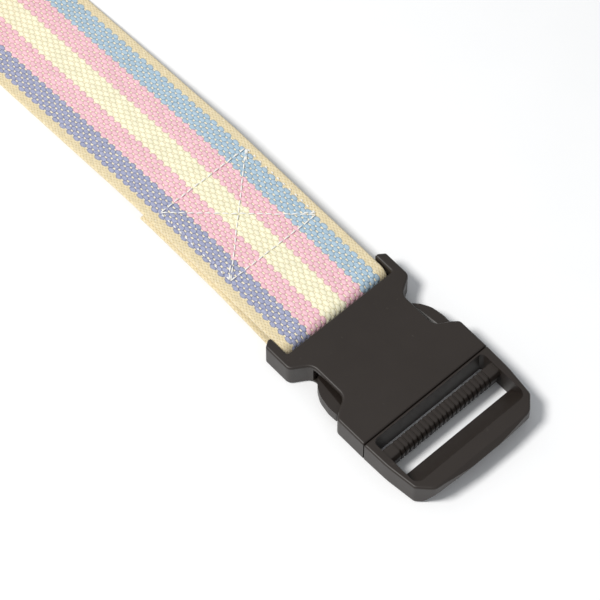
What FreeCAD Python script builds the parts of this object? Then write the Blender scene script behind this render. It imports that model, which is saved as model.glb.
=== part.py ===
import FreeCAD, Part
import math
import os

# Luggage strap: 50 mm striped webbing sewn to a two-part side-release buckle.  Millimetres.
# Frame: +Z up, origin on the flat underside of the buckle's socket, midway along its waist.
# +X runs along the strap towards the plug's end bar, +Y lies across the strap.

Vector = FreeCAD.Vector

# Webbing
WEB_WIDTH = 50.0
WEB_THICK = 1.5
LAYER_GAP = 0.1             # air between the two sewn layers
FOLD_END_X = -100.0         # where the folded-back layer ends
DROP_FROM_X = -106.0        # here the strap leaves the buckle's level
TOUCH_X = -198.0            # and here it reaches the surface it lies on
ROLL_X = -252.0             # centre of the stored roll
ROLL_RADIUS = 32.0
RUN_END_X = ROLL_X + 8.0    # the flat run ends where the roll's skin has come down to it

# Box-X seam through both layers
SEAM_FROM_X = -95.6
SEAM_TO_X = -56.6
SEAM_HALF_Y = 21.0
SEAM_MIDDLE_Y = 0.9         # the seam is sewn a little off the strap's middle
SEAM_WIDTH = 0.6
SEAM_HEIGHT = 0.3

# Buckle, both halves
BUCKLE_HEIGHT = 11.0
BUCKLE_HALF_Y = 30.0
EDGE_ROUND = 0.9
WALL = 1.8                  # top and bottom plates of the socket
MOUTH_X = 25.1              # open end of the socket
SHOULDER_INNER_Y = 25.5
PLATE_EDGE_X = -20.0        # the socket's plates start here, behind the webbing bar
SHOULDER_TIP_X = -29.0
SHOULDER_HALF_Y = 29.4
WAIST_HALF_Y = 22.0

# Webbing bar between the shoulders
BAR_X = -25.5
BAR_Z = 5.5
BAR_RADIUS = 2.5
LOOP_GAP = 0.3              # webbing clear of the bar it turns on
LOOP_TOP_Z = BAR_Z + BAR_RADIUS + LOOP_GAP
FOLD_UNDERSIDE_Z = LOOP_TOP_Z - LAYER_GAP - WEB_THICK

# Socket cavity
CAVITY_BACK_X = -16.0
CAVITY_BACK_HALF_Y = 20.0
CHANNEL_HALF_Y = 28.4       # inside the mouth
WINDOW_FROM_X = -9.6        # open side window, where the latch ears stand out
WINDOW_TO_X = 9.6
RIB_INNER_Y = 10.4
RIB_THICK = 1.2
RIB_TO_X = 8.0

# Plug
JOINT_GAP = 0.2             # between the mouth and the plug's flange
FLANGE_X = MOUTH_X + JOINT_GAP
CROSSBAR_FACE_X = 26.3      # crossbar's side of the first slot, at the top
CROSSBAR_FOOT_X = 26.6      # and at the bottom
RAIL_INNER_Y = 26.6
GRIP_FROM_X = 30.75
GRIP_TO_X = 36.2
GRIP_BOTTOM_Z = 2.5
GRIP_TOP_Z = 9.9
RAMP_FOOT_X = 40.8
RAMP_FOOT_Z = 2.5
RAMP_TOP_X = 49.2
LIP_TOP_X = 54.6            # the end bar's flat top ends
LIP_X = 56.9                # its outermost line
LIP_Z = 9.4
END_FOOT_X = 51.4           # its outer side at the very bottom
SPIGOT_BACK_X = 20.6
SPIGOT_HALF_Y = 28.0
SPIGOT_CLEAR = 0.3          # spigot below and above the socket's plates
GROOVE_COUNT = 22
GROOVE_PITCH = 2.05
GROOVE_WIDTH = 0.75
GROOVE_DEPTH = 0.55

# Latch arms
PIVOT_X = 22.0
PIVOT_Y = 22.5
KNUCKLE_RADIUS = 1.8
KNUCKLE_GAP = 0.3
ARM_BOTTOM_Z = 3.0
ARM_TOP_Z = 8.2
ARM_HALF_THICK = 1.0
EAR_SLOPE_DEG = 24.0

# Guide tongue
TONGUE_TIP_X = 0.0
TONGUE_HALF_Y = 8.0
TONGUE_BOTTOM_Z = 3.0
TONGUE_TOP_Z = 8.0

OVERSIZE = 5.0              # how far cutting tools run past what they cut


def in_plan(u, v):
    """A point of an outline seen from above."""
    return Vector(u, v, 0)


def in_side_view(u, v):
    """A point of a profile seen from the side, in the plane through the strap's middle."""
    return Vector(u, 0, v)


def corner_arc(before, corner, after, radius):
    """Start, middle and end of the arc that rounds one corner."""
    to_before = (before - corner).normalize()
    to_after = (after - corner).normalize()
    half_angle = to_before.getAngle(to_after) / 2
    reach = radius / math.tan(half_angle)
    bisector = (to_before + to_after).normalize()
    centre = corner + bisector * (radius / math.sin(half_angle))
    return corner + to_before * reach, centre - bisector * radius, corner + to_after * reach


def rounded_face(points, place):
    """A flat face from corners (u, v, radius); radius 0 leaves a corner sharp."""
    corners = [place(u, v) for u, v, radius in points]
    arcs = []
    for index, (u, v, radius) in enumerate(points):
        corner = corners[index]
        if radius > 0:
            following = corners[(index + 1) % len(corners)]
            arcs.append(corner_arc(corners[index - 1], corner, following, radius))
        else:
            arcs.append((corner, corner, corner))
    edges = []
    for index, (start, middle, end) in enumerate(arcs):
        if (end - start).Length > 0:
            edges.append(Part.Arc(start, middle, end).toShape())
        next_start = arcs[(index + 1) % len(arcs)][0]
        edges.append(Part.LineSegment(end, next_start).toShape())
    return Part.Face(Part.Wire(edges))


def plan_prism(points, bottom_z, top_z):
    """An outline seen from above, raised between two heights."""
    face = rounded_face(points, in_plan)
    face.translate(Vector(0, 0, bottom_z))
    return face.extrude(Vector(0, 0, top_z - bottom_z))


def side_prism(points, half_width):
    """A side-view profile, spread to both sides of the strap's middle."""
    face = rounded_face(points, in_side_view)
    face.translate(Vector(0, -half_width, 0))
    return face.extrude(Vector(0, 2 * half_width, 0))


def mirrored(points):
    """Both halves of an outline from its +Y half."""
    other_half = [(u, -v, radius) for u, v, radius in reversed(points)]
    return points + other_half


def box(low_x, high_x, low_y, high_y, low_z, high_z):
    return Part.makeBox(high_x - low_x, high_y - low_y, high_z - low_z, Vector(low_x, low_y, low_z))


def across(radius, x, z, half_length):
    """A cylinder across the strap."""
    return Part.makeCylinder(radius, 2 * half_length, Vector(x, -half_length, z), Vector(0, 1, 0))


def upright(radius, x, y, bottom_z, top_z):
    """A cylinder standing on end."""
    return Part.makeCylinder(radius, top_z - bottom_z, Vector(x, y, bottom_z), Vector(0, 0, 1))


def round_rims(solid, height, radius):
    """Round the edges that lie in the solid's bottom and top faces."""
    rims = []
    for edge in solid.Edges:
        bounds = edge.BoundBox
        in_bottom = bounds.ZMax < 0.001
        in_top = bounds.ZMin > height - 0.001
        if in_bottom or in_top:
            rims.append(edge)
    return solid.makeFillet(radius, rims)


# Webbing ---------------------------------------------------------------------------------------

def webbing_band(underside):
    """A layer of webbing from the points (x, z, bend radius) along its underside."""
    upper = [(x, z + WEB_THICK, radius) for x, z, radius in reversed(underside)]
    return side_prism(underside + upper, WEB_WIDTH / 2)


def webbing_main():
    """The upper layer: level off the bar while it is sewn double, then down and flat to the roll."""
    underside = [
        (BAR_X, LOOP_TOP_Z, 0),
        (DROP_FROM_X, LOOP_TOP_Z, 150),
        (TOUCH_X, 0, 150),
        (RUN_END_X, 0, 0),
    ]
    roll_skin = across(ROLL_RADIUS + LAYER_GAP, ROLL_X, ROLL_RADIUS, WEB_WIDTH)
    return webbing_band(underside).cut(roll_skin)


def webbing_loop():
    """The half turn of webbing round the socket's bar."""
    inner_radius = BAR_RADIUS + LOOP_GAP
    outer = across(inner_radius + WEB_THICK, BAR_X, BAR_Z, WEB_WIDTH / 2)
    inner = across(inner_radius, BAR_X, BAR_Z, WEB_WIDTH)
    back_half = box(BAR_X - 2 * OVERSIZE, BAR_X, -WEB_WIDTH, WEB_WIDTH, -OVERSIZE, BUCKLE_HEIGHT + OVERSIZE)
    return outer.cut(inner).cut(back_half)


def webbing_fold():
    """The end of the webbing, come up from under the bar to lie against the upper layer."""
    loop_bottom = BAR_Z - BAR_RADIUS - LOOP_GAP - WEB_THICK
    underside = [
        (BAR_X, loop_bottom, 0),
        (BAR_X - 2, loop_bottom, 8),
        (SEAM_TO_X + 4, FOLD_UNDERSIDE_Z, 24),
        (FOLD_END_X, FOLD_UNDERSIDE_Z, 0),
    ]
    return webbing_band(underside)


def webbing_roll():
    """The stored length, wound up and standing on its turns: the outer shape of the roll."""
    return across(ROLL_RADIUS, ROLL_X, ROLL_RADIUS, WEB_WIDTH / 2)


def box_stitching():
    """The thread of the box-X seam, where it stands on the upper layer."""
    surface = LOOP_TOP_Z + WEB_THICK
    top = surface + SEAM_HEIGHT
    half = SEAM_WIDTH / 2
    low_y = SEAM_MIDDLE_Y - SEAM_HALF_Y
    high_y = SEAM_MIDDLE_Y + SEAM_HALF_Y
    outer = box(SEAM_FROM_X - half, SEAM_TO_X + half, low_y - half, high_y + half, surface, top)
    inner = box(SEAM_FROM_X + half, SEAM_TO_X - half, low_y + half, high_y - half, surface, top)
    seam = outer.cut(inner)
    length = SEAM_TO_X - SEAM_FROM_X
    middle = Vector((SEAM_FROM_X + SEAM_TO_X) / 2, SEAM_MIDDLE_Y, surface)
    diagonal = math.hypot(length, 2 * SEAM_HALF_Y)
    angle = math.degrees(math.atan2(2 * SEAM_HALF_Y, length))
    for turn in (angle, -angle):
        row = Part.makeBox(diagonal, SEAM_WIDTH, SEAM_HEIGHT, Vector(-diagonal / 2, -half, 0))
        row.rotate(Vector(0, 0, 0), Vector(0, 0, 1), turn)
        row.translate(middle)
        seam = seam.fuse(row)
    return seam.removeSplitter()


# Socket ----------------------------------------------------------------------------------------

def socket_outline():
    """The socket from above: mouth, flared waist, shoulders and the notch for the webbing."""
    upper_half = [
        (PLATE_EDGE_X, SHOULDER_INNER_Y, 0.8),
        (SHOULDER_TIP_X, SHOULDER_INNER_Y, 0.4),
        (SHOULDER_TIP_X, 26.9, 0.6),
        (-27.2, SHOULDER_HALF_Y, 1.0),
        (-15.0, SHOULDER_HALF_Y, 3.0),
        (-10.4, WAIST_HALF_Y, 4.5),
        (6.0, WAIST_HALF_Y, 4.0),
        (9.4, 27.6, 1.6),
        (11.4, BUCKLE_HALF_Y, 2.0),
        (MOUTH_X, BUCKLE_HALF_Y, 0),
    ]
    return mirrored(upper_half)


def socket_cavity():
    """The space inside the socket: mouth channel, side windows and the room behind them."""
    low = WALL
    high = BUCKLE_HEIGHT - WALL
    channel = box(0, MOUTH_X + OVERSIZE, -CHANNEL_HALF_Y, CHANNEL_HALF_Y, low, high)
    past_side = BUCKLE_HALF_Y + OVERSIZE
    windows = box(WINDOW_FROM_X, WINDOW_TO_X, -past_side, past_side, low, high)
    back_corner = [
        (WINDOW_FROM_X + OVERSIZE, CAVITY_BACK_HALF_Y, 0),
        (CAVITY_BACK_X, CAVITY_BACK_HALF_Y, 3.0),
    ]
    back = plan_prism(mirrored(back_corner), low, high)
    return channel.fuse(windows).fuse(back)


def socket_shell():
    """The socket's moulding without its webbing bar."""
    shell = round_rims(plan_prism(socket_outline(), 0, BUCKLE_HEIGHT), BUCKLE_HEIGHT, EDGE_ROUND)
    shell = shell.cut(socket_cavity())
    for side in (-1, 1):
        near = side * RIB_INNER_Y
        far = side * (RIB_INNER_Y + RIB_THICK)
        rib = box(CAVITY_BACK_X, RIB_TO_X, min(near, far), max(near, far), WALL, BUCKLE_HEIGHT - WALL)
        shell = shell.fuse(rib)
    return shell.removeSplitter()


def socket_webbing_bar():
    """The round bar that the webbing turns on, between the shoulders."""
    return across(BAR_RADIUS, BAR_X, BAR_Z, SHOULDER_INNER_Y)


# Plug ------------------------------------------------------------------------------------------

def plug_outline():
    """The adjuster frame from above, tapering to a bowed end bar."""
    upper_half = [
        (FLANGE_X, BUCKLE_HALF_Y, 0.5),
        (37.0, 29.7, 40.0),
        (49.6, 28.2, 2.5),
        (54.9, 23.0, 4.5),
        (56.7, 7.0, 80.0),
    ]
    return mirrored(upper_half[::-1])


def adjuster_opening():
    """The room round the grip bar, open right through, with a ramp up the end bar."""
    rounded = [
        (CROSSBAR_FACE_X, RAIL_INNER_Y, 2.0),
        (RAMP_TOP_X, RAIL_INNER_Y, 3.0),
    ]
    plan = plan_prism(mirrored(rounded), -OVERSIZE, BUCKLE_HEIGHT + OVERSIZE)
    rise_per_run = (BUCKLE_HEIGHT - RAMP_FOOT_Z) / (RAMP_TOP_X - RAMP_FOOT_X)
    lean = (CROSSBAR_FOOT_X - CROSSBAR_FACE_X) / BUCKLE_HEIGHT
    over_top = OVERSIZE * rise_per_run
    side_view = [
        (CROSSBAR_FOOT_X + lean * OVERSIZE, -OVERSIZE, 0),
        (RAMP_FOOT_X, -OVERSIZE, 0),
        (RAMP_FOOT_X, RAMP_FOOT_Z, 0.8),
        (RAMP_TOP_X + OVERSIZE, BUCKLE_HEIGHT + over_top, 0),
        (CROSSBAR_FACE_X - lean * over_top, BUCKLE_HEIGHT + over_top, 0),
    ]
    return plan.common(side_prism(side_view, BUCKLE_HALF_Y))


def end_bar_waste():
    """What is cut from the end bar's outer side: a sloping lip, then a wall that leans in below."""
    lean = (LIP_X - END_FOOT_X) / LIP_Z
    side_view = [
        (LIP_TOP_X, BUCKLE_HEIGHT + OVERSIZE, 0),
        (LIP_TOP_X, BUCKLE_HEIGHT, 0),
        (LIP_X, LIP_Z, 0.8),
        (END_FOOT_X - lean * OVERSIZE, -OVERSIZE, 0),
        (LIP_X + OVERSIZE, -OVERSIZE, 0),
        (LIP_X + OVERSIZE, BUCKLE_HEIGHT + OVERSIZE, 0),
    ]
    return side_prism(side_view, BUCKLE_HALF_Y)


def plug_frame():
    """Crossbar, rails and end bar, with the spigot that fills the socket's mouth."""
    frame = round_rims(plan_prism(plug_outline(), 0, BUCKLE_HEIGHT), BUCKLE_HEIGHT, EDGE_ROUND)
    frame = frame.cut(adjuster_opening()).cut(end_bar_waste())
    low = WALL + SPIGOT_CLEAR
    high = BUCKLE_HEIGHT - WALL - SPIGOT_CLEAR
    spigot = box(SPIGOT_BACK_X, FLANGE_X, -SPIGOT_HALF_Y, SPIGOT_HALF_Y, low, high)
    for side in (-1, 1):
        recess = upright(KNUCKLE_RADIUS + KNUCKLE_GAP, PIVOT_X, side * PIVOT_Y, low, high)
        spigot = spigot.cut(recess)
    return frame.fuse(spigot)


def grip_profile(inset):
    """The grip bar's section, taken in by inset at the top and the front."""
    front = GRIP_TO_X - inset
    top = GRIP_TOP_Z - inset
    return [
        (GRIP_FROM_X, GRIP_BOTTOM_Z, 0.6),
        (front - 0.8, GRIP_BOTTOM_Z, 0.8),
        (front, top - 2.2, 2.5),
        (front - 1.0, top, 0.9),
        (GRIP_FROM_X, top, 0.4),
    ]


def plug_grip_bar():
    """The bar that the webbing grips, grooved across its top and its front."""
    bar = side_prism(grip_profile(0), RAIL_INNER_Y)
    spare = side_prism(grip_profile(GROOVE_DEPTH), RAIL_INNER_Y)
    skin = bar.cut(spare)
    first = -(GROOVE_COUNT - 1) / 2 * GROOVE_PITCH
    for index in range(GROOVE_COUNT):
        middle = first + index * GROOVE_PITCH
        slice_box = box(GRIP_FROM_X - 1, GRIP_TO_X + 1, middle - GROOVE_WIDTH / 2,
                        middle + GROOVE_WIDTH / 2, 0, BUCKLE_HEIGHT)
        bar = bar.cut(skin.common(slice_box))
    return bar


def plug_guide_tongue():
    """The middle tongue that steers the plug between the socket's ribs."""
    outline = [
        (SPIGOT_BACK_X, TONGUE_HALF_Y, 0),
        (TONGUE_TIP_X + 4, TONGUE_HALF_Y, 3.0),
        (TONGUE_TIP_X, TONGUE_HALF_Y - 4, 2.0),
    ]
    tongue = plan_prism(mirrored(outline), TONGUE_BOTTOM_Z, TONGUE_TOP_Z)
    lightening = [
        (SPIGOT_BACK_X - 4, 3.5, 2.0),
        (TONGUE_TIP_X + 5, 3.5, 2.0),
    ]
    return tongue.cut(plan_prism(mirrored(lightening), 0, BUCKLE_HEIGHT))


def latch_arm():
    """The +Y latch arm: knuckle, springy beam, and the ear that the thumb presses."""
    outline = [
        (PIVOT_X, PIVOT_Y + ARM_HALF_THICK, 0),
        (9.2, PIVOT_Y + ARM_HALF_THICK, 0.8),
        (9.2, 27.9, 0.9),
        (5.0, 28.1, 8.0),
        (-0.6, 27.2, 9.0),
        (-4.2, 25.2, 8.0),
        (-7.6, 22.0, 0.9),
        (-5.6, 20.2, 1.2),
        (8.6, 20.4, 3.0),
        (11.6, PIVOT_Y - ARM_HALF_THICK, 3.0),
        (PIVOT_X, PIVOT_Y - ARM_HALF_THICK, 0),
    ]
    arm = plan_prism(outline, ARM_BOTTOM_Z, ARM_TOP_Z)
    slope = Part.makeBox(17, 8, 6, Vector(0, -8, 0))
    slope.rotate(Vector(0, 0, 0), Vector(1, 0, 0), EAR_SLOPE_DEG)
    slope.rotate(Vector(0, 0, 0), Vector(0, 0, 1), 6.0)
    slope.translate(Vector(-9.0, 22.6, ARM_TOP_Z))
    arm = arm.cut(slope)
    return arm.fuse(upright(KNUCKLE_RADIUS, PIVOT_X, PIVOT_Y, ARM_BOTTOM_Z, ARM_TOP_Z)).removeSplitter()


def nodes():
    """Every sub-part by name."""
    left_arm = latch_arm()
    return {
        "webbing_main": webbing_main(),
        "webbing_loop": webbing_loop(),
        "webbing_fold": webbing_fold(),
        "webbing_roll": webbing_roll(),
        "box_stitching": box_stitching(),
        "socket_shell": socket_shell(),
        "socket_webbing_bar": socket_webbing_bar(),
        "plug_frame": plug_frame(),
        "plug_grip_bar": plug_grip_bar(),
        "plug_guide_tongue": plug_guide_tongue(),
        "latch_arm_left": left_arm,
        "latch_arm_right": left_arm.mirror(Vector(0, 0, 0), Vector(0, 1, 0)),
    }


os.makedirs("parts", exist_ok=True)
for name, shape in nodes().items():
    shape.exportStep(os.path.join("parts", name + ".step"))
    bounds = shape.BoundBox
    print(f"{name:20} valid {shape.isValid()} solids {len(shape.Solids)} volume {shape.Volume:9.1f}",
          f"x {bounds.XMin:.2f}..{bounds.XMax:.2f} y {bounds.YMin:.2f}..{bounds.YMax:.2f}",
          f"z {bounds.ZMin:.2f}..{bounds.ZMax:.2f}")
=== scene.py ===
import math
import random

import bpy
import numpy as np
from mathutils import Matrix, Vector


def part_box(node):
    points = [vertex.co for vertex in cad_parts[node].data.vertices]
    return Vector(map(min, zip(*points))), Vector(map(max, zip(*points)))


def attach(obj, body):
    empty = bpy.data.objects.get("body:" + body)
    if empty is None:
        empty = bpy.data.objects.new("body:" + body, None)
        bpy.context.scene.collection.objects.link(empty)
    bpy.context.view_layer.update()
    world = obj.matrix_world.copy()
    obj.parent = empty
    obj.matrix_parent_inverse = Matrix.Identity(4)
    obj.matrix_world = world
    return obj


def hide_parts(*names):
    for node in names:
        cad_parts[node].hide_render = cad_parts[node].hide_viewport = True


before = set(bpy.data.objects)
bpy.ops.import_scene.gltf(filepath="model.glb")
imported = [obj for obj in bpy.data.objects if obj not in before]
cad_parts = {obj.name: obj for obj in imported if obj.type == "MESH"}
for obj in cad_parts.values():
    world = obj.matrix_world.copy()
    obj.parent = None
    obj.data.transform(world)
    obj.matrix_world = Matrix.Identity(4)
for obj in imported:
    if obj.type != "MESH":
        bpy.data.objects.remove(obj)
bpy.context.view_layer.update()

# A striped webbing luggage strap with a side-release buckle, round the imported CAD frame.  Metres.
# Webbing is worked out in its own flat coordinates: s runs along it from the sewn end, t across it.

MM = 0.001
RANDOM = random.Random(7)

SEAM_LOW, SEAM_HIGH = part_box("box_stitching")
MAIN_LOW, MAIN_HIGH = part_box("webbing_main")
_, LOOP_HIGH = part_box("webbing_loop")
FOLD_LOW, FOLD_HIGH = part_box("webbing_fold")
ROLL_LOW, ROLL_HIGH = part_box("webbing_roll")
BAR_LOW, BAR_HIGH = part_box("socket_webbing_bar")

# Webbing section
WEB_WIDTH = MAIN_HIGH.y - MAIN_LOW.y
WEB_HALF = WEB_WIDTH / 2
WEB_THICK = 1.5 * MM
CORE_HALF_THICK = 0.56 * MM       # from the middle of the cloth to the hollows between yarns
YARN_RISE = 0.19 * MM             # a yarn's crown above those hollows
EDGE_ROUND = 0.8 * MM             # how far in the selvedge starts to thin
EDGE_HALF_THICK = 0.3 * MM

# Weave: each stripe yarn shows as a row of floats, half a period out of step with its neighbours
FLOAT_PERIOD = 4.07 * MM
YARN_PITCH = 1.19 * MM
FLOAT_HALF_LENGTH = 1.5 * MM
FLOAT_HALF_WIDTH = 0.88 * MM
STRIPE_ROWS = (4, 11, 18)         # yarns from the middle out to each stripe's edge
SELVEDGE_FINER = 2.0              # the selvedge's weave against the stripes'
SELVEDGE_T = STRIPE_ROWS[-1] * YARN_PITCH

# Webbing route
TOUCH_X = -198.0 * MM             # where the strap comes down to the surface
FOLD_SHIFT = 1.1 * MM             # the lower layer is sewn this far off line, towards -Y
FOLD_SHIFT_RUN = 25.0 * MM
ROLL_PITCH = 1.8 * MM
ROLL_CORE_RADIUS = 9.0 * MM
ROLL_FINE_TURNS = 1.15           # the outer turns that get the fine mesh
SEAM_DIP_DEPTH = 0.25 * MM        # how deep the tight thread pulls the cloth in
SEAM_DIP_REACH = 0.75 * MM        # and how far to each side
FINE_STEP = 0.62 * MM
COARSE_STEP = 2.2 * MM
FINE_COLUMNS = 126
COLUMNS_PER_COARSE = 7


def smooth(value):
    """0 below 0, 1 above 1, and an S curve between."""
    value = np.clip(value, 0.0, 1.0)
    return value * value * (3 - 2 * value)


# Webbing route, in the side view ---------------------------------------------------------------

def rounded_line(corners, rounds=4):
    """Control points cut at their corners until they make a smooth line, as a quadratic spline."""
    points = [Vector(corner) for corner in corners]
    for _ in range(rounds):
        cut = [points[0]]
        for a, b in zip(points, points[1:]):
            cut.append(a.lerp(b, 0.25))
            cut.append(a.lerp(b, 0.75))
        cut.append(points[-1])
        points = cut
    return points


def loop_points():
    """The turn round the socket's bar, from underneath to on top."""
    centre_x = (BAR_LOW.x + BAR_HIGH.x) / 2
    centre_z = (BAR_LOW.z + BAR_HIGH.z) / 2
    radius = LOOP_HIGH.x - centre_x - WEB_THICK / 2
    angles = np.radians(np.linspace(-90, 90, 25))
    return [Vector((centre_x + radius * math.cos(a), centre_z + radius * math.sin(a))) for a in angles]


def roll_points():
    """The stored roll, wound inwards from where the strap leaves the floor."""
    centre = Vector(((ROLL_LOW.x + ROLL_HIGH.x) / 2, (ROLL_LOW.z + ROLL_HIGH.z) / 2))
    outer = (ROLL_HIGH.z - ROLL_LOW.z) / 2 - WEB_THICK / 2
    turns = (outer - ROLL_CORE_RADIUS) / ROLL_PITCH
    points = []
    for angle in np.linspace(0, 2 * math.pi * turns, int(turns * 90)):
        radius = outer - ROLL_PITCH * angle / (2 * math.pi)
        points.append(centre + Vector((-math.sin(angle), -math.cos(angle))) * float(radius))
    return points


def folded_points(bar_bottom):
    """The sewn end: level under the upper layer, then down to the underside of the bar."""
    level = FOLD_HIGH.z - WEB_THICK / 2
    return rounded_line([
        (FOLD_LOW.x, level - 0.5 * MM),
        (FOLD_LOW.x + 5 * MM, level),
        (SEAM_LOW.x + 6 * MM, level),
        (SEAM_HIGH.x - 8 * MM, level),
        (SEAM_HIGH.x + 3 * MM, level),
        (bar_bottom.x - 17 * MM, level - 2.0 * MM),
        (bar_bottom.x - 5 * MM, bar_bottom.y),
        (bar_bottom.x, bar_bottom.y),
    ])


def upper_points(bar_top):
    """The upper layer: level over the fold, then down in one long slope to the surface."""
    level = SEAM_LOW.z - WEB_THICK / 2
    rest = WEB_THICK / 2
    return rounded_line([
        (bar_top.x, bar_top.y),
        (SEAM_HIGH.x + 10 * MM, level),
        (SEAM_LOW.x, level),
        (FOLD_LOW.x - 6 * MM, level),
        (FOLD_LOW.x - 24 * MM, level - 1.7 * MM),
        (TOUCH_X + 20 * MM, rest + 1.7 * MM),
        (TOUCH_X, rest),
        (MAIN_LOW.x, rest),
    ])


def route():
    """The webbing's middle line (x, z) from its sewn end, and how far along the bar's top is."""
    around = loop_points()
    under = folded_points(around[0])
    over = upper_points(around[-1])
    to_bar_top = line_length(np.array(under + around))
    return np.array(under[:-1] + around[:-1] + over + roll_points()), to_bar_top


def resample(points, stations):
    """Points of a polyline at the given distances along it."""
    lengths = np.concatenate(([0], np.cumsum(np.linalg.norm(np.diff(points, axis=0), axis=1))))
    x = np.interp(stations, lengths, points[:, 0])
    z = np.interp(stations, lengths, points[:, 1])
    return np.stack((x, z), axis=1)


def line_length(points):
    return float(np.linalg.norm(np.diff(points, axis=0), axis=1).sum())


# Weave relief ----------------------------------------------------------------------------------

def float_lattice(s, t, shift):
    """Height of the yarn floats of every second yarn, from 1 at a crown to below 0 in the gaps."""
    along = (np.mod(s / FLOAT_PERIOD + 0.5 + shift, 1.0) - 0.5) * FLOAT_PERIOD
    across = (np.mod(t / (2 * YARN_PITCH) + 0.25 + shift, 1.0) - 0.5) * 2 * YARN_PITCH
    return 1 - (along / FLOAT_HALF_LENGTH) ** 2 - (across / FLOAT_HALF_WIDTH) ** 2


def weave_height(s, t):
    """The cloth's relief, from 0 in the gaps to 1 on the crowns."""
    stripes = np.maximum(float_lattice(s, t, 0.0), float_lattice(s, t, 0.5))
    fine_s, fine_t = s * SELVEDGE_FINER, t * SELVEDGE_FINER
    edges = np.maximum(float_lattice(fine_s, fine_t, 0.0), float_lattice(fine_s, fine_t, 0.5))
    in_stripes = np.abs(t) < SELVEDGE_T
    height = np.where(in_stripes, stripes, 0.5 * edges + 0.25)
    return np.sqrt(np.clip(height + 0.15, 0, 1))


# Webbing mesh ----------------------------------------------------------------------------------

def seam_lines():
    """The sewn rows of the box-X seam as pairs of (x, y) ends."""
    inset = SEAM_HIGH.z - SEAM_LOW.z
    left, right = SEAM_LOW.x + inset, SEAM_HIGH.x - inset
    low, high = SEAM_LOW.y + inset, SEAM_HIGH.y - inset
    corners = {
        "near left": Vector((left, low)),
        "near right": Vector((right, low)),
        "far right": Vector((right, high)),
        "far left": Vector((left, high)),
    }
    order = (
        ("near left", "near right"),
        ("near right", "far right"),
        ("far right", "far left"),
        ("far left", "near left"),
        ("near left", "far right"),
        ("far left", "near right"),
    )
    return [(corners[a], corners[b]) for a, b in order]


def seam_dip(x, y):
    """How far the tight thread pulls the cloth in, from 0 away from the seam to 1 under it."""
    nearest = np.full(x.shape, 1.0)
    for start, end in seam_lines():
        run = end - start
        part = np.clip(((x - start.x) * run.x + (y - start.y) * run.y) / run.length_squared, 0, 1)
        distance = np.hypot(x - start.x - part * run.x, y - start.y - part * run.y)
        nearest = np.minimum(nearest, distance)
    return np.exp(-(nearest / SEAM_DIP_REACH) ** 2)


def webbing_rings(points, stations, columns, to_bar_top):
    """Vertices and weave coordinates of closed rings round the webbing at the given stations."""
    middle = resample(points, stations)
    step = 0.2 * MM
    ahead = resample(points, stations + step)
    behind = resample(points, stations - step)
    tangent = ahead - behind
    tangent /= np.linalg.norm(tangent, axis=1)[:, None]
    normal = np.stack((tangent[:, 1], -tangent[:, 0]), axis=1)
    across = np.linspace(-WEB_HALF, WEB_HALF, columns + 1)
    s, t = np.meshgrid(stations, across, indexing="ij")
    edge = np.clip((np.abs(t) - (WEB_HALF - EDGE_ROUND)) / EDGE_ROUND, 0, 1)
    thinning = np.sqrt(1 - edge ** 2)
    x_here = np.repeat(middle[:, :1], columns + 1, axis=1)
    is_upper = s > to_bar_top
    aside = -FOLD_SHIFT * smooth((to_bar_top - s) / FOLD_SHIFT_RUN - 0.5)
    dip = seam_dip(x_here, t) * SEAM_DIP_DEPTH * is_upper
    faces = []
    for side in (1, -1):
        weave_s = s if side == 1 else s + FLOAT_PERIOD / 2
        rise = YARN_RISE * weave_height(weave_s, t)
        half = EDGE_HALF_THICK + (CORE_HALF_THICK + rise - EDGE_HALF_THICK) * thinning
        if side == 1:
            half = half - dip
        x = middle[:, :1] + side * normal[:, :1] * half
        z = middle[:, 1:] + side * normal[:, 1:] * half
        place = np.stack((x, t + aside, z), axis=2)
        weave = np.stack((weave_s / MM, t / MM, np.zeros_like(t)), axis=2)
        faces.append((place, weave))
    (top, top_weave), (under, under_weave) = faces
    ring = np.concatenate((top, under[:, ::-1]), axis=1)
    ring_weave = np.concatenate((top_weave, under_weave[:, ::-1]), axis=1)
    return ring, ring_weave


def tube_faces(rings, ring_size, first):
    """Quads between neighbouring rings."""
    row = np.arange(rings - 1)[:, None] * ring_size + first
    here = np.arange(ring_size)[None, :]
    following = (here + 1) % ring_size
    next_row = row + ring_size
    quads = np.stack((row + here, row + following, next_row + following, next_row + here), axis=2)
    return quads.reshape(-1, 4).tolist()


def webbing_mesh():
    """One closed mesh: fine where the cloth shows, coarse in the roll's inner turns."""
    points, to_bar_top = route()
    total = line_length(points)
    to_roll = total - line_length(np.array(roll_points()))
    outer_turn = ROLL_FINE_TURNS * math.pi * (ROLL_HIGH.z - ROLL_LOW.z)
    fine_end = to_roll + outer_turn
    fine_stations = np.linspace(0, fine_end, int(fine_end / FINE_STEP))
    coarse_start = fine_end + FINE_STEP
    coarse_count = int((total - coarse_start) / COARSE_STEP)
    coarse_stations = np.linspace(coarse_start, total, coarse_count)
    coarse_columns = FINE_COLUMNS // COLUMNS_PER_COARSE
    fine, fine_weave = webbing_rings(points, fine_stations, FINE_COLUMNS, to_bar_top)
    coarse, coarse_weave = webbing_rings(points, coarse_stations, coarse_columns, to_bar_top)
    fine_size, coarse_size = fine.shape[1], coarse.shape[1]
    vertices = np.concatenate((fine.reshape(-1, 3), coarse.reshape(-1, 3)))
    weave = np.concatenate((fine_weave.reshape(-1, 3), coarse_weave.reshape(-1, 3)))
    first_coarse = fine.shape[0] * fine_size
    faces = tube_faces(fine.shape[0], fine_size, 0)
    faces += tube_faces(coarse.shape[0], coarse_size, first_coarse)
    faces += meeting_faces(first_coarse - fine_size, first_coarse, coarse_columns)
    faces.append(list(range(fine_size))[::-1])
    last = len(vertices) - coarse_size
    faces.append(list(range(last, len(vertices))))
    return vertices, weave, faces, total


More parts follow.
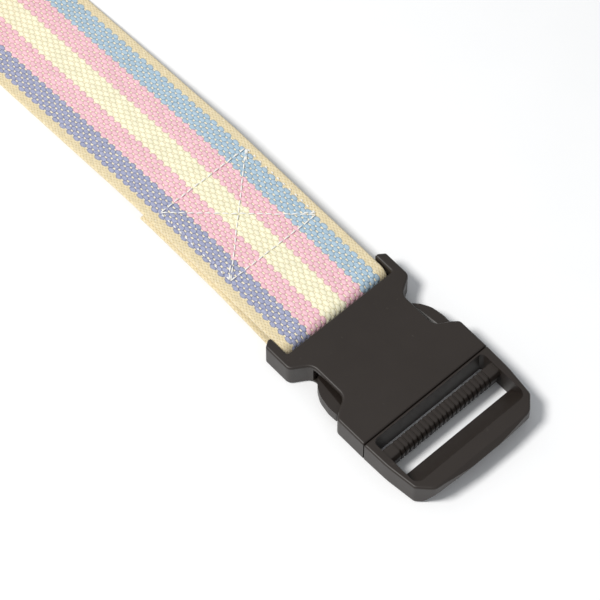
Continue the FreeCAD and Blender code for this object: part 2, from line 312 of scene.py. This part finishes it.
def meeting_faces(fine_first, coarse_first, coarse_columns):
    """Faces that join the last fine ring to the first coarse one."""
    fine_side = FINE_COLUMNS + 1
    coarse_side = coarse_columns + 1
    faces = []
    for side in (0, 1):
        for column in range(coarse_columns):
            start = fine_first + side * fine_side + column * COLUMNS_PER_COARSE
            fine_run = list(range(start, start + COLUMNS_PER_COARSE + 1))
            corner = coarse_first + side * coarse_side + column
            faces.append(fine_run + [corner + 1, corner])
    for fine_from, fine_to, coarse_from, coarse_to in (
        (fine_side - 1, fine_side, coarse_side - 1, coarse_side),
        (2 * fine_side - 1, 0, 2 * coarse_side - 1, 0),
    ):
        faces.append([fine_first + fine_from, fine_first + fine_to,
                      coarse_first + coarse_to, coarse_first + coarse_from])
    return faces


def mesh_object(name, vertices, faces, material, smooth_shading=True):
    mesh = bpy.data.meshes.new(name)
    mesh.from_pydata([tuple(v) for v in vertices], [], faces)
    mesh.materials.append(material)
    if smooth_shading:
        mesh.shade_smooth()
    else:
        mesh.shade_flat()
    obj = bpy.data.objects.new(name, mesh)
    bpy.context.scene.collection.objects.link(obj)
    return obj


def make_webbing(material):
    vertices, weave, faces, total = webbing_mesh()
    webbing = mesh_object("striped_webbing", vertices, faces, material)
    attribute = webbing.data.attributes.new("weave", "FLOAT_VECTOR", "POINT")
    attribute.data.foreach_set("vector", weave.astype(np.float32).ravel())
    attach(webbing, "strap")
    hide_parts("webbing_main", "webbing_loop", "webbing_fold", "webbing_roll")
    return webbing


# Stitches --------------------------------------------------------------------------------------

STITCH_PITCH = 3.2 * MM
STITCH_SHOWN = 0.8                # the share of the pitch that lies on the cloth
SUNK_STITCH_SHOWN = 0.42          # and where the row runs in the groove beside a stripe
STITCH_RADIUS = 0.26 * MM
STITCH_CROWN = 0.42 * MM          # how far a stitch's middle rises from its ends
STITCH_ROOT = 0.2 * MM            # how deep in the cloth its ends are
STITCH_END = 0.35                 # its thickness at the ends, as a share of the middle's
STITCH_WIDER = 1.15               # the thread is pressed a little flat
STITCH_LOWER = 0.8
STITCH_WANDER = 0.13 * MM         # the most that a stitch's end is out of line
ROW_LIFT = 0.05 * MM              # a row's height over the cloth
BACKTACK_LIFT = 0.12 * MM         # and a second row's over the first
STITCH_SIDES = 8
STITCH_STEPS = 8


def stitch_rings(start, end, surface, lift, first):
    """One lockstitch: a thread that rises from the cloth, runs along it and dives back in."""
    run = end - start
    side_way = Vector((-run.y, run.x)).normalized()
    vertices = []
    for step in range(STITCH_STEPS + 1):
        part = step / STITCH_STEPS
        middle = start.lerp(end, part)
        arch = math.sin(math.pi * part) ** 0.6
        radius = STITCH_RADIUS * (STITCH_END + (1 - STITCH_END) * arch)
        height = surface + lift * (arch * STITCH_CROWN - STITCH_ROOT)
        for side in range(STITCH_SIDES):
            angle = 2 * math.pi * side / STITCH_SIDES
            out = radius * STITCH_WIDER * math.cos(angle)
            up = radius * STITCH_LOWER * math.sin(angle)
            vertices.append((middle.x + side_way.x * out, middle.y + side_way.y * out, height + up))
    faces = tube_faces(STITCH_STEPS + 1, STITCH_SIDES, first)
    faces.append(list(range(first, first + STITCH_SIDES))[::-1])
    last = first + STITCH_STEPS * STITCH_SIDES
    faces.append(list(range(last, last + STITCH_SIDES)))
    return vertices, faces


def stitch_row(start, end, surface, lift, shown, vertices, faces):
    """Evenly spaced stitches from start to end, each a little out of true."""
    length = (end - start).length
    count = max(2, round(length / STITCH_PITCH))
    way = (end - start) / length
    side_way = Vector((-way.y, way.x))
    pitch = length / count
    for index in range(count):
        aside_at_start = side_way * RANDOM.uniform(-STITCH_WANDER, STITCH_WANDER)
        aside_at_end = side_way * RANDOM.uniform(-STITCH_WANDER, STITCH_WANDER)
        stitch_start = start + way * (index + 0.5 - shown / 2) * pitch + aside_at_start
        stitch_end = start + way * (index + 0.5 + shown / 2) * pitch + aside_at_end
        more, joined = stitch_rings(stitch_start, stitch_end, surface, lift, len(vertices))
        vertices += more
        faces += joined


def make_stitching(material):
    vertices, faces = [], []
    top = SEAM_LOW.z + ROW_LIFT
    underside = FOLD_HIGH.z - WEB_THICK - ROW_LIFT
    for start, end in seam_lines():
        runs_lengthwise = abs(end.y - start.y) < MM
        shown = SUNK_STITCH_SHOWN if runs_lengthwise else STITCH_SHOWN
        stitch_row(start, end, top, 1, shown, vertices, faces)
        stitch_row(start, end, underside, -1, shown, vertices, faces)
    for start, end in backtacks():
        stitch_row(start, end, top + BACKTACK_LIFT, 1, STITCH_SHOWN, vertices, faces)
    stitching = mesh_object("box_x_stitching", vertices, faces, material)
    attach(stitching, "strap")
    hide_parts("box_stitching")
    return stitching


def backtacks():
    """Short second rows where the seam starts and ends, beside its own corners."""
    rows = seam_lines()
    tacks = []
    for start, end, length, aside in (
        (rows[0][1], rows[5][0], 7 * MM, 0.7 * MM),
        (rows[1][1], rows[4][0], 5 * MM, -0.7 * MM),
        (rows[3][0], rows[5][1], 6 * MM, 0.6 * MM),
    ):
        way = (end - start).normalized()
        side_way = Vector((-way.y, way.x)) * aside
        tacks.append((start + side_way, start + side_way + way * length))
    return tacks


# Materials -------------------------------------------------------------------------------------

class Shader:
    """A material's node tree, with short calls for the nodes used here."""

    def __init__(self, name):
        self.material = bpy.data.materials.new(name)
        self.material.use_nodes = True
        self.tree = self.material.node_tree
        self.surface = self.tree.nodes["Principled BSDF"]

    def put(self, value, socket):
        if isinstance(value, bpy.types.NodeSocket):
            self.tree.links.new(value, socket)
        else:
            socket.default_value = value

    def math(self, operation, *values, clamp=False):
        node = self.tree.nodes.new("ShaderNodeMath")
        node.operation = operation
        node.use_clamp = clamp
        for index, value in enumerate(values):
            self.put(value, node.inputs[index])
        return node.outputs[0]

    def between(self, value, low, high, to_low=0.0, to_high=1.0):
        """value's place between low and high, as an S curve, moved to a new range."""
        node = self.tree.nodes.new("ShaderNodeMapRange")
        node.interpolation_type = "SMOOTHSTEP"
        for index, number in enumerate((value, low, high, to_low, to_high)):
            self.put(number, node.inputs[index])
        return node.outputs[0]

    def mix(self, factor, first, second, blend="MIX"):
        node = self.tree.nodes.new("ShaderNodeMix")
        node.data_type = "RGBA"
        node.blend_type = blend
        self.put(factor, node.inputs[0])
        self.put(first, node.inputs[6])
        self.put(second, node.inputs[7])
        return node.outputs[2]

    def join(self, x, y, z):
        node = self.tree.nodes.new("ShaderNodeCombineXYZ")
        for index, value in enumerate((x, y, z)):
            self.put(value, node.inputs[index])
        return node.outputs[0]

    def noise(self, vector, scale, detail=2.0, roughness=0.5):
        node = self.tree.nodes.new("ShaderNodeTexNoise")
        self.put(vector, node.inputs["Vector"])
        node.inputs["Scale"].default_value = scale
        node.inputs["Detail"].default_value = detail
        node.inputs["Roughness"].default_value = roughness
        return node.outputs[0]

    def random(self, vector):
        node = self.tree.nodes.new("ShaderNodeTexWhiteNoise")
        self.put(vector, node.inputs["Vector"])
        return node.outputs["Value"]

    def place(self):
        return self.tree.nodes.new("ShaderNodeTexCoord").outputs["Object"]

    def steps(self, value, stops):
        """A colour for each stretch of value, from (start, colour) pairs."""
        node = self.tree.nodes.new("ShaderNodeValToRGB")
        node.color_ramp.interpolation = "CONSTANT"
        elements = node.color_ramp.elements
        while len(elements) < len(stops):
            elements.new(0.5)
        for element, (start, colour) in zip(elements, stops):
            element.position = start
            element.color = colour
        self.put(value, node.inputs[0])
        return node.outputs[0]

    def bump(self, height, distance, strength=1.0, normal=None):
        node = self.tree.nodes.new("ShaderNodeBump")
        node.inputs["Strength"].default_value = strength
        node.inputs["Distance"].default_value = distance
        self.put(height, node.inputs["Height"])
        if normal is not None:
            self.put(normal, node.inputs["Normal"])
        return node.outputs[0]


def colour(red, green, blue):
    """Linear colour from display values of 0 to 255."""
    def linear(value):
        part = value / 255
        return part / 12.92 if part <= 0.04045 else ((part + 0.055) / 1.055) ** 2.4
    return (linear(red), linear(green), linear(blue), 1.0)


LAVENDER = colour(149, 154, 184)
PINK = colour(234, 186, 197)
YELLOW = colour(241, 236, 205)
BLUE = colour(160, 186, 204)
TAN = colour(220, 204, 164)
WEFT = colour(238, 228, 198)
# near-white for the streaks along the yarns: partly pale fibres, partly a painted highlight
PALE_STRAND_AND_HIGHLIGHT = colour(240, 240, 244)

WOBBLE_ALONG = 1.1                # how unevenly the floats lie, in millimetres
WOBBLE_ACROSS = 0.5


def lattice_nodes(shader, s, t, shift):
    """float_lattice as nodes, in millimetres, with the middle line of the nearest yarn and a
    random number for each float."""
    period, pitch = FLOAT_PERIOD / MM, YARN_PITCH / MM
    turn = shader.math("MULTIPLY_ADD", s, 1 / period, 0.5 + shift)
    along = shader.math("MULTIPLY", shader.math("SUBTRACT", shader.math("FRACT", turn), 0.5), period)
    row = shader.math("MULTIPLY_ADD", t, 1 / (2 * pitch), 0.25 + shift)
    across = shader.math("MULTIPLY", shader.math("SUBTRACT", shader.math("FRACT", row), 0.5), 2 * pitch)
    long_part = shader.math("POWER", shader.math("MULTIPLY", along, MM / FLOAT_HALF_LENGTH), 2.0)
    wide_part = shader.math("POWER", shader.math("MULTIPLY", across, MM / FLOAT_HALF_WIDTH), 2.0)
    height = shader.math("SUBTRACT", shader.math("SUBTRACT", 1.0, long_part), wide_part)
    middle = shader.math("SUBTRACT", t, across)
    number = shader.random(shader.join(shader.math("FLOOR", turn), shader.math("FLOOR", row), shift))
    return height, middle, number


def choose(shader, switch, first, second):
    """second where switch is 1, first where it is 0."""
    rest = shader.math("SUBTRACT", 1.0, switch)
    return shader.math("ADD", shader.math("MULTIPLY", rest, first), shader.math("MULTIPLY", switch, second))


def weave_nodes(shader, s, t):
    """Height, yarn middle line and random number of the winning float."""
    height_a, middle_a, number_a = lattice_nodes(shader, s, t, 0.0)
    height_b, middle_b, number_b = lattice_nodes(shader, s, t, 0.5)
    wins = shader.math("GREATER_THAN", height_b, height_a)
    return (
        shader.math("MAXIMUM", height_a, height_b),
        choose(shader, wins, middle_a, middle_b),
        choose(shader, wins, number_a, number_b),
    )


def stripe_stops():
    """The stripes across the webbing as (start, colour) pairs, from -Y to +Y."""
    half = WEB_HALF / MM
    pitch = YARN_PITCH / MM
    inner, middle, outer = (rows * pitch for rows in STRIPE_ROWS)
    edges = (
        (-half, TAN), (-outer, LAVENDER), (-middle, PINK), (-inner, YELLOW),
        (inner, PINK), (middle, BLUE), (outer, TAN),
    )
    return [((t + half) / (2 * half), shade) for t, shade in edges]


def webbing_material():
    """Coarse striped cloth: coloured warp floats over cream weft, finer at the selvedges."""
    shader = Shader("striped_webbing")
    attribute = shader.tree.nodes.new("ShaderNodeAttribute")
    attribute.attribute_name = "weave"
    split = shader.tree.nodes.new("ShaderNodeSeparateXYZ")
    shader.put(attribute.outputs["Vector"], split.inputs[0])
    wobble = shader.noise(attribute.outputs["Vector"], 0.5, 2.0)
    along = shader.math("MULTIPLY_ADD", wobble, WOBBLE_ALONG, -WOBBLE_ALONG / 2)
    aside = shader.math("MULTIPLY_ADD", wobble, -WOBBLE_ACROSS, WOBBLE_ACROSS / 2)
    s = shader.math("ADD", split.outputs[0], along)
    t = shader.math("ADD", split.outputs[1], aside)
    height, middle, number = weave_nodes(shader, s, t)
    fine_s = shader.math("MULTIPLY", s, SELVEDGE_FINER)
    fine_t = shader.math("MULTIPLY", t, SELVEDGE_FINER)
    fine_height, _, fine_number = weave_nodes(shader, fine_s, fine_t)
    yarn_is_striped = shader.math("LESS_THAN", shader.math("ABSOLUTE", middle), SELVEDGE_T / MM)
    on_float = shader.math("GREATER_THAN", height, 0.0)
    inside = shader.math("LESS_THAN", shader.math("ABSOLUTE", t), SELVEDGE_T / MM)
    shown = shader.math("MAXIMUM", on_float, inside)
    striped = shader.math("MULTIPLY", yarn_is_striped, shown)
    low_contrast = shader.math("MULTIPLY_ADD", fine_height, 0.38, 0.36)
    relief = choose(shader, striped, low_contrast, height)
    luck = choose(shader, striped, fine_number, number)
    width = WEB_WIDTH / MM
    share = shader.math("MULTIPLY_ADD", middle, 1 / width, 0.5)
    stripe = shader.steps(share, stripe_stops())
    strand_along = shader.math("MULTIPLY", s, 1.3)
    strand_across = shader.math("MULTIPLY_ADD", s, 1.6, shader.math("MULTIPLY", t, 7.0))
    strand = shader.noise(shader.join(strand_along, strand_across, 0.0), 1.0, 3.0, 0.6)
    yarn = shader.mix(striped, TAN, stripe)
    # painted shade: the yarn colour times itself is mixed in where the relief is low, darkening the hollows
    # between floats
    yarn_in_painted_shade = shader.mix(1.0, yarn, yarn, "MULTIPLY")
    yarn = shader.mix(shader.between(relief, 0.6, -0.1, 0.0, 0.9), yarn, yarn_in_painted_shade)
    # strand noise lightens the yarn towards near-white: partly pale fibres, partly painted highlight
    yarn = shader.mix(shader.between(strand, 0.5, 0.68, 0.0, 0.5), yarn, PALE_STRAND_AND_HIGHLIGHT)
    gap = shader.math("MULTIPLY", shader.between(height, -0.02, -0.12), striped)
    cloth = shader.mix(gap, yarn, WEFT)
    # painted shade: the yarn is darker where its relief is low, and the cream weft darker at the rim of
    # each gap next to the floats
    yarn_painted_shade = shader.between(relief, -0.12, 0.6, 0.84, 1.03)
    dot_painted_shade = shader.between(height, -0.08, -0.25, 0.82, 1.05)
    shade = choose(shader, gap, yarn_painted_shade, dot_painted_shade)
    # then a random tone for each float and along the strands
    shade = shader.math("MULTIPLY", shade, shader.math("MULTIPLY_ADD", luck, 0.10, 0.95))
    shade = shader.math("MULTIPLY", shade, shader.math("MULTIPLY_ADD", strand, 0.30, 0.86))
    # this painted shade and random tone multiply the cloth colour
    painted_shade_and_tone = shader.join(shade, shade, shade)
    shader.put(shader.mix(1.0, cloth, painted_shade_and_tone, "MULTIPLY"), shader.surface.inputs["Base Color"])
    dot_crown = shader.math("MULTIPLY_ADD", height, -0.8, -0.25)
    crowned = shader.math("MAXIMUM", relief, shader.math("MULTIPLY", dot_crown, gap))
    soft_relief = shader.math("SQRT", shader.math("ADD", crowned, 0.3, clamp=True))
    bumps = shader.bump(soft_relief, 0.22 * MM, 0.8)
    bumps = shader.bump(strand, 0.10 * MM, 0.7, bumps)
    shader.put(bumps, shader.surface.inputs["Normal"])
    shader.put(shader.between(strand, 0.3, 0.7, 0.95, 0.78), shader.surface.inputs["Roughness"])
    shader.surface.inputs["Sheen Weight"].default_value = 0.35
    shader.surface.inputs["Sheen Roughness"].default_value = 0.5
    shader.surface.inputs["Specular IOR Level"].default_value = 0.25
    return shader.material


def thread_material():
    """White sewing thread with a fine fuzz."""
    shader = Shader("white_thread")
    place = shader.place()
    fuzz = shader.noise(place, 2600.0, 3.0, 0.6)
    white = shader.mix(fuzz, colour(226, 224, 218), colour(252, 251, 247))
    shader.put(white, shader.surface.inputs["Base Color"])
    shader.put(shader.bump(fuzz, 0.08 * MM, 0.6), shader.surface.inputs["Normal"])
    shader.put(shader.between(fuzz, 0.3, 0.7, 0.55, 0.8), shader.surface.inputs["Roughness"])
    shader.surface.inputs["Sheen Weight"].default_value = 0.3
    return shader.material


def plastic_material(name, base, roughness):
    """Moulded acetal: a fine even grain, faint mottling and a few scuffs."""
    shader = Shader(name)
    place = shader.place()
    grain = shader.noise(place, 2400.0, 2.0, 0.6)
    cloud = shader.noise(place, 60.0, 4.0, 0.6)
    scuffs = shader.between(shader.noise(place, 420.0, 5.0, 0.75), 0.66, 0.74)
    light = tuple(min(1.0, part * 1.16) for part in base[:3]) + (1.0,)
    mottled = shader.mix(cloud, base, light)
    worn = shader.mix(shader.math("MULTIPLY", scuffs, 0.22), mottled, colour(112, 106, 100))
    shader.put(worn, shader.surface.inputs["Base Color"])
    level = shader.math("MULTIPLY_ADD", cloud, 0.16, roughness - 0.08)
    level = shader.math("MULTIPLY_ADD", scuffs, 0.15, level)
    shader.put(level, shader.surface.inputs["Roughness"])
    shader.put(shader.bump(grain, 0.035 * MM, 0.55), shader.surface.inputs["Normal"])
    shader.surface.inputs["Specular IOR Level"].default_value = 0.42
    return shader.material


def paint(nodes, material):
    """Gives CAD nodes their material."""
    for name in nodes:
        for material_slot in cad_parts[name].material_slots:
            material_slot.material = material


# Stage -----------------------------------------------------------------------------------------

CAMERA_TARGET = Vector((-33.4, -7.2, 11.0)) * MM
CAMERA_AZIMUTH = math.radians(47.9)
CAMERA_ELEVATION = math.radians(60.3)
CAMERA_DISTANCE = 1.203
CAMERA_LENS = 200.0


def make_camera():
    """A long lens, looking down along the strap from beyond the buckle."""
    flat = math.cos(CAMERA_ELEVATION)
    back = Vector((
        math.sin(CAMERA_AZIMUTH) * flat,
        -math.cos(CAMERA_AZIMUTH) * flat,
        math.sin(CAMERA_ELEVATION),
    ))
    camera_data = bpy.data.cameras.new("camera")
    camera_data.lens = CAMERA_LENS
    camera_data.sensor_width = 36.0
    camera_data.clip_start = 0.05
    camera_data.clip_end = 20.0
    camera = bpy.data.objects.new("camera", camera_data)
    camera.location = CAMERA_TARGET + back * CAMERA_DISTANCE
    camera.rotation_mode = "QUATERNION"
    camera.rotation_quaternion = (-back).to_track_quat("-Z", "Y")
    bpy.context.scene.collection.objects.link(camera)
    bpy.context.scene.camera = camera


def make_floor():
    """A plain white table top."""
    shader = Shader("pale_floor")
    speckle = shader.noise(shader.place(), 30.0, 2.0)
    white = shader.mix(speckle, colour(246, 247, 248), colour(250, 250, 251))
    shader.put(white, shader.surface.inputs["Base Color"])
    shader.surface.inputs["Roughness"].default_value = 0.9
    shader.surface.inputs["Specular IOR Level"].default_value = 0.1
    size = 3.0
    height = -0.1 * MM
    corners = [(-size, -size, height), (size, -size, height), (size, size, height), (-size, size, height)]
    floor = mesh_object("table_top", corners, [[0, 1, 2, 3]], shader.material, False)


def make_softbox(name, place, size, power, tint):
    """A round area light, aimed where the camera looks."""
    data = bpy.data.lights.new(name, "AREA")
    data.shape = "DISK"
    data.size = size
    data.energy = power
    data.color = tint
    lamp = bpy.data.objects.new(name, data)
    lamp.location = place
    lamp.rotation_mode = "QUATERNION"
    lamp.rotation_quaternion = (CAMERA_TARGET - lamp.location).to_track_quat("-Z", "Y")
    bpy.context.scene.collection.objects.link(lamp)


def make_light():
    """A high lamp on the left, a weak one on the right, and an even pale surround."""
    world = bpy.data.worlds.new("studio")
    world.use_nodes = True
    background = world.node_tree.nodes["Background"]
    background.inputs["Color"].default_value = (0.94, 0.97, 1.0, 1.0)
    background.inputs["Strength"].default_value = 0.42
    bpy.context.scene.world = world
    make_softbox("key", Vector((-0.25, -0.62, 1.1)), 0.4, 14.0, (1.0, 0.985, 0.96))
    make_softbox("fill", Vector((0.7, 0.2, 0.9)), 0.8, 0.4, (0.96, 0.98, 1.0))
    bpy.context.scene.view_settings.view_transform = "Standard"


# Assembly --------------------------------------------------------------------------------------

make_camera()
make_webbing(webbing_material())
make_stitching(thread_material())
PLASTIC = plastic_material("buckle_plastic", colour(40, 34, 30), 0.44)
paint(("socket_shell", "socket_webbing_bar", "plug_frame", "plug_grip_bar", "plug_guide_tongue",
       "latch_arm_left", "latch_arm_right"), PLASTIC)
make_floor()
make_light()
